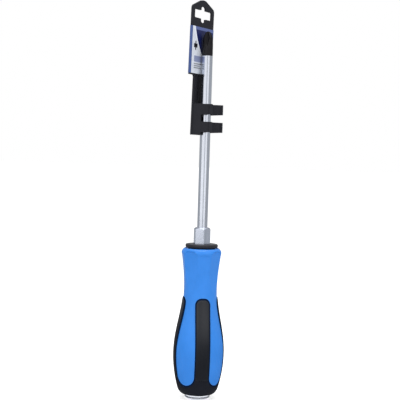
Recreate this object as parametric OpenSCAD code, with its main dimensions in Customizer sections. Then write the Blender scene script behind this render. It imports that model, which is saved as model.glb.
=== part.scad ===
// Cross-head screwdriver with a through tang, a two-component handle and a clip-on hanger.
// The blade runs along +Z, and z = 0 is the striking face of the butt cap. Sizes in millimetres.

/* [Blade] */
// Diameter of the round shaft
shaft_d = 8; // [6:0.5:10]
// Free length from the top of the bolster to the end of the tip
blade_len = 150; // [120:5:200]
// Half angle of the tapered wings at the tip
wing_angle = 26.5; // [22:0.5:30]
// Diameter over the wings at the end of the taper
wing_end_d = 3.8; // [3:0.1:5]
// Diameter of the small flat at the very end
tip_flat_d = 1.4; // [0.8:0.1:2]
// Height of the blunt cone between the wings and the end flat
tip_cone_h = 0.6; // [0.3:0.1:1]
// Length of the four flutes, measured back from the end
flute_len = 12; // [9:0.5:15]
// Distance from the axis to the root of a flute at the end of the tip
flute_root = 1.1; // [0.8:0.1:1.5]
// Depth of each of the two flats that key the tang in the core
tang_flat = 0.8; // [0.4:0.1:1.2]

/* [Bolster] */
// Distance across the flats of the hexagon
hex_across = 12; // [10:0.5:16]
// Height of the hexagon that stands free above the collar
hex_h = 12.8; // [8:0.2:18]
// Depth of the hexagon sunk in the handle
hex_sunk = 9; // [5:0.5:14]
// Chamfer at the top of the hexagon, measured on the radius
hex_chamfer = 1.2; // [0.6:0.1:2]

/* [Handle] */
// Height of the top face of the blue shell
shell_top = 116.6; // [110:0.2:135]
// Radius of the widest part of the shell
belly_r = 19.1; // [17:0.1:22]
// Height of the widest part
belly_z = 35.5; // [32:0.5:45]
// Radius of the waist
waist_r = 12.75; // [12:0.05:14]
// Height of the waist
waist_z = 86; // [82:1:96]
// Power that scoops the shell between the belly and the waist: at 1 the fingers stand evenly proud of it
scoop = 1.25; // [1:0.05:1.5]
// Radius of the flared rim at the front
rim_r = 15.35; // [14.5:0.05:18]
// Power of the flare from the waist to the rim: 1 is a cone, 2 a parabola
flare = 1.5; // [1.2:0.05:2.2]
// Width of the rounding at the rim, measured on the radius
rim_round_r = 4.2; // [3:0.1:6]
// Height of the rounding at the rim
rim_round_h = 4; // [3:0.1:6]
// Radius of the handle where the butt rounding begins
butt_r = 15.4; // [14.5:0.1:17]
// Width of the rounding at the butt, measured on the radius
butt_round_r = 4.2; // [3:0.1:7]
// Height of the rounding at the butt
butt_round_h = 5.5; // [4:0.1:6]
// Depth of the soft flats round the waist
facet_depth = 0.55; // [0.2:0.05:0.6]
// Length of the soft flats along the neck
facet_len = 34; // [24:1:40]
// Wall of the shell between the core and the outside
shell_wall = 4; // [3.4:0.1:5]
// Turn of the fingers and of the hexagon about the blade
grip_turn = 41; // [0:1:89]

/* [Soft grip] */
// Depth of the overmould below the surface of the shell
grip_depth = 2.2; // [1.4:0.1:2.6]
// Height by which the overmould stands proud of the shell where that isn't scooped
grip_proud = 0.4; // [0.2:0.05:0.8]
// Width of one finger
finger_w = 12; // [9:0.25:14]
// Height of the top of the fingers
finger_top = 79; // [72:0.5:88]
// Corner radius at the top of a finger
finger_corner = 5; // [2:0.25:5.5]
// Height of the lowest point of the panels
panel_bottom = 12.25; // [11.5:0.25:18]

/* [Collar] */
// Radius of the front collar
collar_r = 12.5; // [11.5:0.1:14]
// Height of the front collar
collar_h = 2.8; // [2.5:0.1:5]
// Rounding of the upper edge of the collar
collar_round = 1.4; // [0.8:0.1:2.2]

/* [Strike cap] */
// Radius of the cap
cap_r = 9.7; // [8.5:0.1:11]
// Height of the cap below the handle
cap_h = 3.9; // [3.5:0.1:6]
// Radius of the flat striking face
face_r = 7.25; // [4:0.25:8]
// Height of the domed edge of the cap
dome_h = 1.6; // [1:0.1:3.2]
// Radius of the spigot inside the handle
spigot_r = 7; // [6:0.1:8]
// Length of the spigot inside the handle
spigot_h = 11; // [8:0.5:15]
// Thickness of the cap under the end of the tang
anvil = 3; // [2.5:0.1:3.8]

/* [Hanger] */
// Width of the head
head_w = 31.4; // [27:0.2:36]
// Thickness of the plate
plate_t = 1.6; // [1.2:0.1:2]
// Width of the stem
stem_w = 18; // [14:0.5:20]
// Height of the lower end of the stem above the bolster
clip_rise = 71; // [50:0.5:72]
// Length of the stem up to the head
stem_len = 45.5; // [43:0.5:52]
// Height of the edge of the head that stays bare below the label
head_edge = 1; // [0.4:0.1:2]
// Height of the printed part of the head
label_h = 35.5; // [30:0.5:40]
// Height of the bare head up to the corners of the roof
bare_h = 15; // [14:0.1:18]
// Height of the roof above its corners
roof_h = 5.7; // [3:0.1:7]
// Width of the flat top of the roof
roof_flat = 5; // [3:0.5:8]
// Width of the hanging slot
slot_w = 24.8; // [20:0.2:25]
// Height of the hanging slot
slot_h = 6.3; // [5:0.1:7]
// Height of the lower edge of the slot above the label
slot_rise = 6.6; // [6:0.1:8]
// Width of the notches in the middle of the slot
notch_w = 5; // [3:0.25:7]
// Depth of the notches in the middle of the slot
notch_h = 3; // [2:0.1:3.4]
// Softening of the corners of the roof and the stem
soft = 2; // [0.5:0.1:2.4]
// Lean of the plate towards the blade, in degrees
lean = 1.2; // [0:0.1:2]
// Gap that the leaning head keeps to the shaft when the hanger slides
slide_gap = 0.35; // [0.3:0.05:0.8]
// Width of the rib between the two shallow channels of the stem
rib_w = 3.6; // [2:0.1:6]
// Width of the rim beside each channel of the stem
channel_edge = 0.8; // [0.6:0.1:2]
// Depth of the channels of the stem
channel_d = 0.9; // [0.3:0.05:1]

/* [Clip] */
// Height of each ring
ring_h = 7.7; // [6:0.1:8]
// Space between the two rings
ring_gap = 5.7; // [4:0.1:7]
// Height of the lower ring above the end of the stem
ring_rise = 2; // [1.5:0.1:3]
// Wall of the rings
ring_wall = 1.8; // [1.4:0.1:2]
// Radial clearance of the rings on the shaft
ring_clear = 0.05; // [0.02:0.01:0.1]
// Half angle of the mouth of the rings
mouth_angle = 52; // [46:1:58]
// Length of the lead-in lips
lip_len = 8.6; // [6:0.2:11]
// Thickness of the lead-in lips
lip_t = 1.7; // [1.2:0.1:1.8]
// Angle between a lip and the plane of symmetry
lip_angle = 38; // [30:1:48]
// Height of a lip at its free end
lip_end_h = 6.8; // [5:0.1:7]

/* [Label] */
// Thickness of the printed sleeve
label_t = 0.3; // [0.2:0.05:0.4]

/* [Hidden] */
$fn = 96;
flutes = 4;
fingers = 4;
finger_pitch = 360 / fingers;
facets = 8;
over = 1;
shaft_r = shaft_d / 2;

// Heights up the blade, each from the one before
core_z = cap_h;
collar_z = shell_top;
hex_z = collar_z + collar_h;
hex_top = hex_z + hex_h;
tip_z = hex_top + blade_len;
tang_z = anvil;
taper_h = (shaft_d - wing_end_d) / 2 / tan(wing_angle);

// Handle outline: the rim's rounding stops short of a quarter turn, and the butt's bends just above its edge
round_sweep = 70;
cap_inset = 0.1;
butt_lift = 0.7;
butt_z = cap_h + butt_round_h;
rim_z = shell_top - rim_round_h * sin(round_sweep);
shell_z = butt_z + over;
core_low_r = cap_r + cap_inset;
butt_edge_r = max(butt_r - butt_round_r, core_low_r + cap_inset);
core_top = hex_z - hex_sunk - over;
core_rise = 4;
facet_z = rim_z - facet_len;
facet_fade = 0.6;

// Steps up the side, up the core, along a flat and round an arc
side_steps = 28;
core_steps = 8;
facet_steps = 10;
arc_steps = 6;

// The panels are as wide as the space between two fingers, where their round bottoms begin
panel_ease = 0.1;
panel_surface = side_r((belly_z + panel_bottom) / 2) + grip_proud;
panel_r = panel_surface * sin(finger_pitch / 2 - asin(finger_w / 2 / panel_surface)) + panel_ease;
panel_z = panel_bottom + panel_r;
prism_far = belly_r + grip_proud + 2 * over;

// Hanger heights in the plane of the plate
stem_z = hex_top + clip_rise;
head_z = stem_z + stem_len;
label_z = head_z + head_edge;
bare_z = label_z + label_h;
roof_z = bare_z + bare_h;
slot_z = bare_z + slot_rise;
ring_low = stem_z + ring_rise;
ring_high = ring_low + ring_h + ring_gap;
pivot_z = ring_high + ring_h / 2;
head_near = max(sin(lean) * (roof_z + roof_h - pivot_z), sin(lean) * (bare_z - pivot_z) + label_t);
plate_y = shaft_r + slide_gap + plate_t / 2 + head_near;
ring_in = shaft_r + ring_clear;
ring_out = ring_in + ring_wall;
ring_mid = (ring_in + ring_out) / 2;

// Radius of the outside of the shell at height z, without the roundings at its ends, and of the fingers with power 1
function side_r(z, power = scoop) =
    z < belly_z ? belly_r - (belly_r - butt_r) * pow((belly_z - z) / (belly_z - butt_z), 2)
    : z < waist_z ? waist_r
        + (belly_r - waist_r) * pow((1 + cos(180 * (z - belly_z) / (waist_z - belly_z))) / 2, power)
    : waist_r + (rim_r - waist_r) * pow((z - waist_z) / (rim_z - waist_z), flare);

// Points up the side between two heights, moved outwards by d
function side(z0, z1, n, d, power = scoop) =
    [for (i = [0 : n]) let(z = z0 + (z1 - z0) * i / n) [side_r(z, power) + d, z]];

// A point of the curve that leaves p and reaches q along the lines to the corner b
function bend(p, b, q, t) = (1 - t) * (1 - t) * p + 2 * t * (1 - t) * b + t * t * q;

// Points round the butt, from its edge outwards, moved outwards by d: they meet the side along its own slope
function butt_arc(d) = let(
    slope = 2 * (belly_r - butt_r) / (belly_z - butt_z),
    turn = [butt_r - slope * (butt_round_h - butt_lift), cap_h + butt_lift])
    [for (i = [0 : arc_steps - 1])
        bend([butt_edge_r, cap_h], turn, [butt_r, butt_z], i / arc_steps) + [d, 0]];

// Points round the rim, from the side inwards
function rim_arc() = [for (i = [1 : arc_steps]) let(a = round_sweep * i / arc_steps)
    [rim_r - rim_round_r * (1 - cos(a)), rim_z + rim_round_h * sin(a)]];

// Points up the outside of the core
function core_line() = concat(
    [[core_low_r, core_z], [core_low_r, shell_z]],
    [for (i = [1 : core_steps]) let(low = shell_z + core_rise, z = low + (core_top - low) * i / core_steps)
        [side_r(z) - shell_wall, z]]);

// Points of a quarter or half circle in a plane
function arc(x, y, r, a0, a1, n) = [for (i = [0 : n]) let(a = a0 + (a1 - a0) * i / n)
    [x + r * cos(a), y + r * sin(a)]];

// A corner b between its neighbours a and c, softened over the length r of each side
function corner(a, b, c, r) = r == 0 ? [b] :
    let(p = b + r * (a - b) / norm(a - b), q = b + r * (c - b) / norm(c - b))
    [for (i = [0 : arc_steps]) bend(p, b, q, i / arc_steps)];

// A closed outline with each corner softened by its own length
function softened(points, lengths) = let(n = len(points)) [for (i = [0 : n - 1])
    each corner(points[(i + n - 1) % n], points[i], points[(i + 1) % n], lengths[i])];

// A flat outline in the plane of the blade, drawn outwards from the axis at one angle
module radial_prism(angle) {
    rotate([0, 0, angle])
        rotate([90, 0, 90])
            linear_extrude(height = prism_far)
                children();
}

// Round shaft with the tang, its keying flats and the taper of the tip, without flutes
module shaft_body() {
    difference() {
        rotate_extrude()
            polygon([
                [0, tang_z],
                [shaft_r, tang_z],
                [shaft_r, tip_z - tip_cone_h - taper_h],
                [wing_end_d / 2, tip_z - tip_cone_h],
                [tip_flat_d / 2, tip_z],
                [0, tip_z]
            ]);
        tang_flats();
    }
}

// The two blocks that leave the keying flats on the tang
module tang_flats() {
    margin = 5;
    flat_z = cap_h + spigot_h + margin;
    flat_h = core_top - margin - flat_z;
    for (side = [-1, 1])
        translate([side * (shaft_d - tang_flat), 0, flat_z + flat_h / 2])
            cube([shaft_d, 2 * shaft_d, flat_h], center = true);
}

// One straight V flute that runs out on the shaft
module flute(angle) {
    fall = atan((shaft_r - flute_root) / flute_len);
    reach = flute_len + 2 * over;
    rotate([0, 0, angle])
        translate([flute_root, 0, tip_z])
            rotate([0, -fall, 0])
                translate([0, 0, -reach])
                    linear_extrude(height = reach + over)
                        polygon([[0, 0], [2 * shaft_d, -2 * shaft_d], [2 * shaft_d, 2 * shaft_d]]);
}

module blade() {
    color([0.80, 0.81, 0.83])
        difference() {
            shaft_body();
            for (i = [0 : flutes - 1])
                flute(grip_turn + 360 / flutes * (i + 0.5));
        }
}

// Hexagonal prism between two heights
module hexagon(z0, z1) {
    translate([0, 0, z0])
        rotate([0, 0, grip_turn])
            cylinder(r = hex_across / 2 / cos(30), h = z1 - z0, $fn = 6);
}

module hex_bolster() {
    corner_r = hex_across / 2 / cos(30);
    chamfer_slope = 0.75;
    low = hex_z - hex_sunk;
    color([0.72, 0.73, 0.75])
        difference() {
            intersection() {
                hexagon(low, hex_top);
                rotate_extrude()
                    polygon([
                        [0, low - over],
                        [corner_r + over, low - over],
                        [corner_r + over, hex_top - (hex_chamfer + over) * chamfer_slope],
                        [corner_r - hex_chamfer, hex_top],
                        [0, hex_top]
                    ]);
            }
            translate([0, 0, low - over])
                cylinder(r = shaft_r, h = hex_sunk + hex_h + 2 * over);
        }
}

module strike_cap() {
    top = cap_h + spigot_h;
    color([0.82, 0.83, 0.85])
        rotate_extrude()
            polygon(concat(
                [[0, 0], [face_r, 0]],
                [for (i = [1 : arc_steps]) let(a = 90 * i / arc_steps)
                    [face_r + (cap_r - face_r) * sin(a), dome_h * (1 - cos(a))]],
                [
                    [cap_r, cap_h],
                    [spigot_r, cap_h],
                    [spigot_r, top],
                    [shaft_r, top],
                    [shaft_r, tang_z],
                    [0, tang_z]
                ]));
}

module handle_core() {
    line = core_line();
    color([0.20, 0.33, 0.55])
        difference() {
            rotate_extrude()
                polygon(concat([[0, core_z]], line, [[0, core_top]]));
            translate([0, 0, core_z - over])
                cylinder(r = spigot_r, h = spigot_h + over);
            shaft_body();
        }
}

// Solid of revolution of the whole outside of the shell, with soft flats round the neck
module shell_blank() {
    difference() {
        rotate_extrude()
            polygon(concat(
                [[0, shell_z]],
                side(shell_z, rim_z, side_steps, 0),
                rim_arc(),
                [[0, shell_top]]));
        for (i = [0 : facets - 1])
            neck_flat(grip_turn + 360 * i / facets);
    }
}

// One block that cuts a soft flat: it follows the neck, deepest half way along
module neck_flat(angle) {
    rise = facet_len / facet_steps;
    run_in = rise / 4;
    line = [for (i = [0 : facet_steps]) let(z = facet_z + rise * i, end = i == 0 || i == facet_steps)
        [side_r(z) + (end ? run_in : -facet_depth * pow(sin(180 * i / facet_steps), facet_fade)), z]];
    rotate([0, 0, angle])
        rotate([90, 0, 0])
            linear_extrude(height = rim_r, center = true)
                polygon(concat(line, [[2 * rim_r, rim_z], [2 * rim_r, facet_z]]));
}

// Prisms that mark out the overmould: the butt, less the panels, and the fingers
module grip_zone() {
    difference() {
        cylinder(r = prism_far, h = panel_z);
        for (i = [0 : fingers - 1])
            radial_prism(grip_turn + finger_pitch * (i + 0.5))
                polygon(concat(
                    arc(0, panel_z, panel_r, 180, 360, 3 * arc_steps),
                    [[panel_r, panel_z + over], [-panel_r, panel_z + over]]));
    }
    for (i = [0 : fingers - 1])
        radial_prism(grip_turn + finger_pitch * i)
            finger_outline();
}

// Straight finger with a round-cornered top, which keeps a short flat
module finger_outline() {
    least_flat = 0.5;
    half = finger_w / 2;
    bend_r = min(finger_corner, half - least_flat);
    x = half - bend_r;
    z = finger_top - bend_r;
    polygon(concat(
        [[-half, panel_bottom - over], [half, panel_bottom - over]],
        arc(x, z, bend_r, 0, 90, arc_steps),
        arc(-x, z, bend_r, 90, 180, arc_steps)));
}

// Ring of revolution that the overmould fills, out to d beyond the shell's unscooped outline
module grip_ring(d) {
    top = finger_top + 2 * over;
    outer = concat(butt_arc(d), side(butt_z, top, side_steps, d, 1));
    inner = side(shell_z, top, side_steps, -grip_depth);
    rotate_extrude()
        polygon(concat(
            [[core_low_r, shell_z], [core_low_r, core_z]],
            outer,
            [for (i = [len(inner) - 1 : -1 : 0]) inner[i]]));
}

module handle_shell() {
    color([0.26, 0.55, 0.92])
        difference() {
            shell_blank();
            rotate_extrude()
                polygon(concat([[0, core_z]], core_line(), [[0, core_top]]));
            hexagon(hex_z - hex_sunk, hex_z);
            translate([0, 0, core_top - over])
                cylinder(r = shaft_r, h = 2 * over + hex_sunk);
            intersection() {
                grip_ring(grip_proud + over);
                grip_zone();
            }
        }
}

module soft_grip() {
    color([0.14, 0.14, 0.16])
        intersection() {
            grip_ring(grip_proud);
            grip_zone();
        }
}

module front_collar() {
    collar_edge = 0.6;
    bend_r = min(collar_round, collar_h - 2 * collar_edge);
    color([0.10, 0.10, 0.11])
        difference() {
            rotate_extrude()
                polygon(concat(
                    [[0, collar_z], [collar_r - collar_edge, collar_z], [collar_r, collar_z + collar_edge]],
                    arc(collar_r - bend_r, hex_z - bend_r, bend_r, 0, 90, arc_steps),
                    [[0, hex_z]]));
            hexagon(collar_z - over, hex_z + over);
        }
}

// Places a flat outline drawn in x and z as the leaning plate, between two depths from its middle
module plate_slab(back, front) {
    translate([0, plate_y, pivot_z])
        rotate([lean, 0, 0])
            translate([0, back, -pivot_z])
                rotate([90, 0, 0])
                    linear_extrude(height = back - front)
                        children();
}

// Outline of the head and the stem
module plate_outline() {
    polygon(softened([
        [-stem_w / 2, stem_z],
        [stem_w / 2, stem_z],
        [stem_w / 2, head_z],
        [head_w / 2, head_z],
        [head_w / 2, roof_z],
        [roof_flat / 2, roof_z + roof_h],
        [-roof_flat / 2, roof_z + roof_h],
        [-head_w / 2, roof_z],
        [-head_w / 2, head_z],
        [-stem_w / 2, head_z]
    ], [soft / 2, soft / 2, soft, 0, soft, soft, soft, soft, 0, soft]));
}

// Hanging slot with a notch above and below its middle
module slot_outline() {
    top = slot_z + slot_h;
    edge = soft / 2;
    tip = 0.4 * notch_w;
    root = 0.2 * notch_h;
    polygon(softened([
        [-slot_w / 2, slot_z],
        [-notch_w / 2, slot_z],
        [-notch_w / 2, slot_z - notch_h],
        [notch_w / 2, slot_z - notch_h],
        [notch_w / 2, slot_z],
        [slot_w / 2, slot_z],
        [slot_w / 2, top],
        [notch_w / 2, top],
        [notch_w / 2, top + notch_h],
        [-notch_w / 2, top + notch_h],
        [-notch_w / 2, top],
        [-slot_w / 2, top]
    ], [edge, root, tip, tip, root, edge, edge, root, tip, tip, root, edge]));
}

// One shallow channel of the stem beside its rib, round at its lower end
module channel_outline() {
    width = (stem_w - rib_w) / 2 - channel_edge;
    x = (rib_w + width) / 2;
    low = ring_high + ring_h + width / 2 + 2 * over;
    polygon(concat(
        arc(x, low, width / 2, 180, 360, 2 * arc_steps),
        [[x + width / 2, head_z], [x - width / 2, head_z]]));
}

// One open ring with its two lead-in lips
module clip_ring(z0) {
    mouth = 2 * ring_out;
    translate([0, 0, z0]) {
        difference() {
            cylinder(r = ring_out, h = ring_h);
            translate([0, 0, -over])
                cylinder(r = ring_in, h = ring_h + 2 * over);
            translate([0, 0, -over])
                linear_extrude(height = ring_h + 2 * over)
                    polygon([
                        [0, 0],
                        [-mouth * sin(mouth_angle), -mouth * cos(mouth_angle)],
                        [mouth * sin(mouth_angle), -mouth * cos(mouth_angle)]
                    ]);
        }
        for (side = [0, 1])
            mirror([side, 0, 0])
                translate([ring_mid * sin(mouth_angle), -ring_mid * cos(mouth_angle), ring_h / 2])
                    rotate([0, 0, lip_angle - 90])
                        translate([0, lip_t / 2, 0])
                            rotate([90, 0, 0])
                                linear_extrude(height = lip_t)
                                    polygon([
                                        [0, -ring_h / 2],
                                        [lip_len, -lip_end_h / 2],
                                        [lip_len, lip_end_h / 2],
                                        [0, ring_h / 2]
                                    ]);
    }
}

module hanger() {
    pad_w = shaft_d + 2 * over;
    pad_y = ring_mid;
    pad_z = stem_z + over / 2;
    color([0.13, 0.13, 0.14]) {
        difference() {
            union() {
                plate_slab(plate_t / 2, -plate_t / 2)
                    plate_outline();
                translate([-pad_w / 2, pad_y, pad_z])
                    cube([pad_w, plate_y - pad_y, ring_high + ring_h + over - pad_z]);
            }
            plate_slab(plate_t, -plate_t)
                slot_outline();
            for (side = [0, 1])
                plate_slab(channel_d - plate_t / 2, -plate_t)
                    mirror([side, 0])
                        channel_outline();
        }
        clip_ring(ring_low);
        clip_ring(ring_high);
    }
}

module label() {
    color([0.80, 0.84, 0.90])
        difference() {
            plate_slab(plate_t / 2 + label_t, -plate_t / 2 - label_t)
                translate([-head_w / 2 - label_t, label_z])
                    square([head_w + 2 * label_t, label_h]);
            plate_slab(plate_t / 2, -plate_t / 2)
                translate([-head_w / 2, label_z - over])
                    square([head_w, label_h + 2 * over]);
        }
}

blade();
hex_bolster();
strike_cap();
handle_core();
handle_shell();
soft_grip();
front_collar();
hanger();
label();
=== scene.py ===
"""Looks of a cross-head screwdriver with a clip-on hanger, built round its packed solids.

The file is laid out as an add-on and is run as a script. Lengths are in metres and share the frame of
the solids: z = 0 is the striking face, the blade runs along +Z, and the hanger's plate stands at +Y.
"""

import math

import bmesh
import bpy
import numpy as np
from bpy.props import FloatProperty, FloatVectorProperty, PointerProperty
from mathutils import Matrix, Vector


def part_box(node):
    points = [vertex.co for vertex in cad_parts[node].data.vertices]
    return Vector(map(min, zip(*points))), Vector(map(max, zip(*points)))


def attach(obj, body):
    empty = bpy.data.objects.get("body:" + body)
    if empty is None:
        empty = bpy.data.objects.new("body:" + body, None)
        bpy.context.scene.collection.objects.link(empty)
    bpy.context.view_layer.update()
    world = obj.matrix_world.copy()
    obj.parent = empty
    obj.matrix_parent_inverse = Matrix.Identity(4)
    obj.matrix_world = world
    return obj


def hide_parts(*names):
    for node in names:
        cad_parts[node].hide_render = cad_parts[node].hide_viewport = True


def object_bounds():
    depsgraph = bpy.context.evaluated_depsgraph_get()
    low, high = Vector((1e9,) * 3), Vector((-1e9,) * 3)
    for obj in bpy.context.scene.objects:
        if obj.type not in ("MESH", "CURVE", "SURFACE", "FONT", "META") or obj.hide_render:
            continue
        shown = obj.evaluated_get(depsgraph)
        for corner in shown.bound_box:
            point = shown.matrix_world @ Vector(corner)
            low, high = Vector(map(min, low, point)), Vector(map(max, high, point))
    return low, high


bl_info = {
    "name": "Cross-head screwdriver",
    "version": (1, 0, 0),
    "blender": (4, 5, 0),
    "location": "View3D > Sidebar > Screwdriver",
    "description": "Pieces, finishes and stage of a cross-head screwdriver with a clip-on hanger",
    "category": "Object",
}

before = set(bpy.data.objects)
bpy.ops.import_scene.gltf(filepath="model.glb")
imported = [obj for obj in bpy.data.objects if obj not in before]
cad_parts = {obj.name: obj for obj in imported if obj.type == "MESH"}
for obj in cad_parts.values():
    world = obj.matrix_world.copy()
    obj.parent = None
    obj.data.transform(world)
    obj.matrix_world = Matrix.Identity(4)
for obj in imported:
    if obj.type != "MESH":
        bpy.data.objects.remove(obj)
CAD_LOW, CAD_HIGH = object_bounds()
MM = 0.001

# The sizes that the solids already carry come from their boxes.
BLADE_LOW, BLADE_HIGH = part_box("blade")
BOLSTER_LOW, BOLSTER_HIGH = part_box("hex_bolster")
CAP_LOW, CAP_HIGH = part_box("strike_cap")
SHELL_LOW, SHELL_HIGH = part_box("handle_shell")
_, GRIP_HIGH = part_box("soft_grip")
COLLAR_LOW, COLLAR_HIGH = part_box("front_collar")
HANGER_LOW, HANGER_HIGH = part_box("hanger")
LABEL_LOW, LABEL_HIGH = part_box("label")
SHAFT_R = (BLADE_HIGH.x - BLADE_LOW.x) / 2


def length(name, description, millimetres):
    """A length property, with its default in millimetres."""
    default = millimetres * MM
    return FloatProperty(name=name, description=description, default=default, unit="LENGTH", precision=5)


def angle(name, description, degrees):
    """An angle property, with its default in degrees."""
    return FloatProperty(name=name, description=description, default=math.radians(degrees), unit="ROTATION")


def share(name, description, value):
    """A plain number property."""
    return FloatProperty(name=name, description=description, default=value, precision=3)


def colour(name, description, rgb):
    """A linear colour property."""
    return FloatVectorProperty(
        name=name, description=description, default=rgb, subtype="COLOR", size=3, min=0, max=1
    )


class BladeSettings(bpy.types.PropertyGroup):
    """Tip and finish of the blade."""

    wing_angle: angle("Wing angle", "Half angle of the tapered wings", 26.5)
    wing_end_d: length("Wing end", "Diameter over the wings where the taper ends", 3.8)
    tip_flat_d: length("Tip flat", "Diameter of the flat at the very end", 1.4)
    tip_cone_h: length("Tip cone", "Height of the blunt cone at the end", 0.6)
    flute_len: length("Flute length", "Length of the flutes from the end", 12.5)
    flute_root: length("Flute root", "Distance from the axis to a flute's root at the end", 1.1)
    flute_turn: angle("Flute turn", "Turn of the flutes about the blade", 19)
    flute_runout: share("Flute run-out", "Power of a flute's rise to the surface, 1 being straight", 2)
    burnish_len: length("Burnished length", "Length of the black tip", 18.9)
    chrome: colour("Chrome", "Colour of the plated shaft", (0.75, 0.785, 0.87))
    burnish: colour("Burnished", "Colour of the black tip", (0.019, 0.018, 0.0205))


class BolsterSettings(bpy.types.PropertyGroup):
    """Hexagon above the handle."""

    across: length("Across flats", "Distance across the flats", 12)
    chamfer: length("Chamfer", "Chamfer at the top, on the radius", 1.7)
    edge: length("Edge", "Amount by which the six edges are eased", 0.2)
    sink_r: length("Countersink", "Radius of the countersink round the shaft", 5.2)
    sink_h: length("Countersink depth", "Depth of the countersink", 0.7)
    steel: colour("Steel", "Colour of the satin steel", (0.77, 0.82, 0.935))
    # This is a darker copy of the steel: painted shade on the chamfer and the countersink that dims their
    # highlight.
    turned: colour("Turned steel", "Colour of the turned chamfer and countersink", (0.44, 0.47, 0.55))


class CapSettings(bpy.types.PropertyGroup):
    """Strike cap at the butt."""

    face_r: length("Face radius", "Radius of the flat striking face", 7.25)
    dome_h: length("Dome height", "Height of the domed edge", 1.6)
    flange_h: length("Flange height", "Height of the cap below the handle", 4.3)
    spigot_r: length("Spigot radius", "Radius of the spigot inside the handle", 7)
    steel: colour("Steel", "Colour of the turned steel", (0.70, 0.72, 0.78))


class HandleSettings(bpy.types.PropertyGroup):
    """Hard shell of the handle and its collar."""

    belly_z: length("Belly height", "Height of the widest part", 35.5)
    waist_r: length("Waist radius", "Radius of the waist", 12.75)
    waist_z: length("Waist height", "Height of the waist", 86)
    scoop: share("Scoop", "Power that scoops the shell between the belly and the waist", 1.25)
    rim_r: length("Rim radius", "Radius of the flared rim", 15.35)
    flare: share("Flare", "Power of the flare from the waist to the rim", 1.5)
    rim_round_r: length("Rim rounding", "Width of the rounding at the rim", 4.2)
    rim_round_h: length("Rim rounding height", "Height of the rounding at the rim", 4)
    butt_r: length("Butt radius", "Radius where the butt rounding begins", 15.4)
    butt_round_r: length("Butt rounding", "Width of the rounding at the butt", 4.2)
    butt_round_h: length("Butt rounding height", "Height of the rounding at the butt", 5.1)
    butt_lift: length("Butt lift", "Height above its edge at which the butt rounding bends", 0.7)
    round_sweep: angle("Rounding sweep", "Turn of the rounding at the rim", 70)
    facet_depth: length("Flat depth", "Depth of the narrow flats on the neck, above the fingers", 0.6)
    facet_wide_depth: length("Wide flat depth", "Depth of the wide flats, above the panels", 1.35)
    facet_len: length("Flat length", "Length of the soft flats on the neck", 34)
    facet_fade: length("Flat fade", "Length over which the flats fade at their lower end", 22)
    facet_lead: length("Flat lead", "Length over which the flats begin below the rim", 1.4)
    facet_low: length("Flat start", "Height of the rim above the narrow flats", 0.4)
    facet_arch: length("Flat arch", "How much higher a wide flat starts in its middle", 2.6)
    facet_half: angle("Wide flat", "Half the angle that a wide flat takes up", 27.5)
    facet_full: share("Arch fullness", "How soon a wide flat's arch reaches its full height", 1.7)
    turn: angle("Turn", "Turn of the fingers and the hexagon about the blade", 41)
    seat_r: length("Seat radius", "Radius of the seat of the collar in the rim", 13.2)
    seat_depth: length("Seat depth", "Depth of the seat of the collar", 0.8)
    gap_h: length("Gap height", "Height of the gap under the collar, above the rim", 0.3)
    gap_depth: length("Gap depth", "Depth of the gap under the collar", 1.8)
    collar_round: length("Collar rounding", "Rounding of the collar's upper edge", 1.4)
    collar_lift: length("Collar lift", "Height of the collar's top above that of its solid", 0.3)
    blue: colour("Shell blue", "Colour of the hard shell", (0.030, 0.232, 0.755))
    collar_black: colour("Collar black", "Colour of the collar", (0.019, 0.0195, 0.0255))
    core_grey: colour("Core", "Colour of the hidden core", (0.03, 0.10, 0.28))


class GripSettings(bpy.types.PropertyGroup):
    """Soft overmould with four fingers."""

    proud: length("Proud", "Height above the unscooped shell", 0.4)
    depth: length("Depth", "Depth below the shell", 2.2)
    finger_w: length("Finger width", "Width of one finger", 12)
    finger_top: length("Finger top", "Height of the top of the fingers", 79)
    finger_corner: length("Finger corner", "Corner radius at the top of a finger", 5)
    panel_bottom: length("Panel bottom", "Lowest height of the blue panels", 12.25)
    edge_r: length("Edge rounding", "Rounding of the overmould's edge", 0.6)
    pad_rise: length("Pad rise", "Height of the raised field within a border", 0.15)
    pad_border: length("Pad border", "Width of the border round the raised field", 1.35)
    black: colour("Grip black", "Colour of the overmould", (0.0060, 0.0080, 0.0140))
    # The colour of the strip beside the grip's edge is a dark navy line: painted shade standing in for the
    # shadow line round each finger.
    border: colour("Grip border", "Colour of the matt border beside its edge", (0.0025, 0.0095, 0.032))
    matt_top: length("Matt top", "Height up to which the overmould is matt", 17)
    butt: colour("Grip butt", "Colour of the matt lower end", (0.0128, 0.0145, 0.0205))


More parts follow.
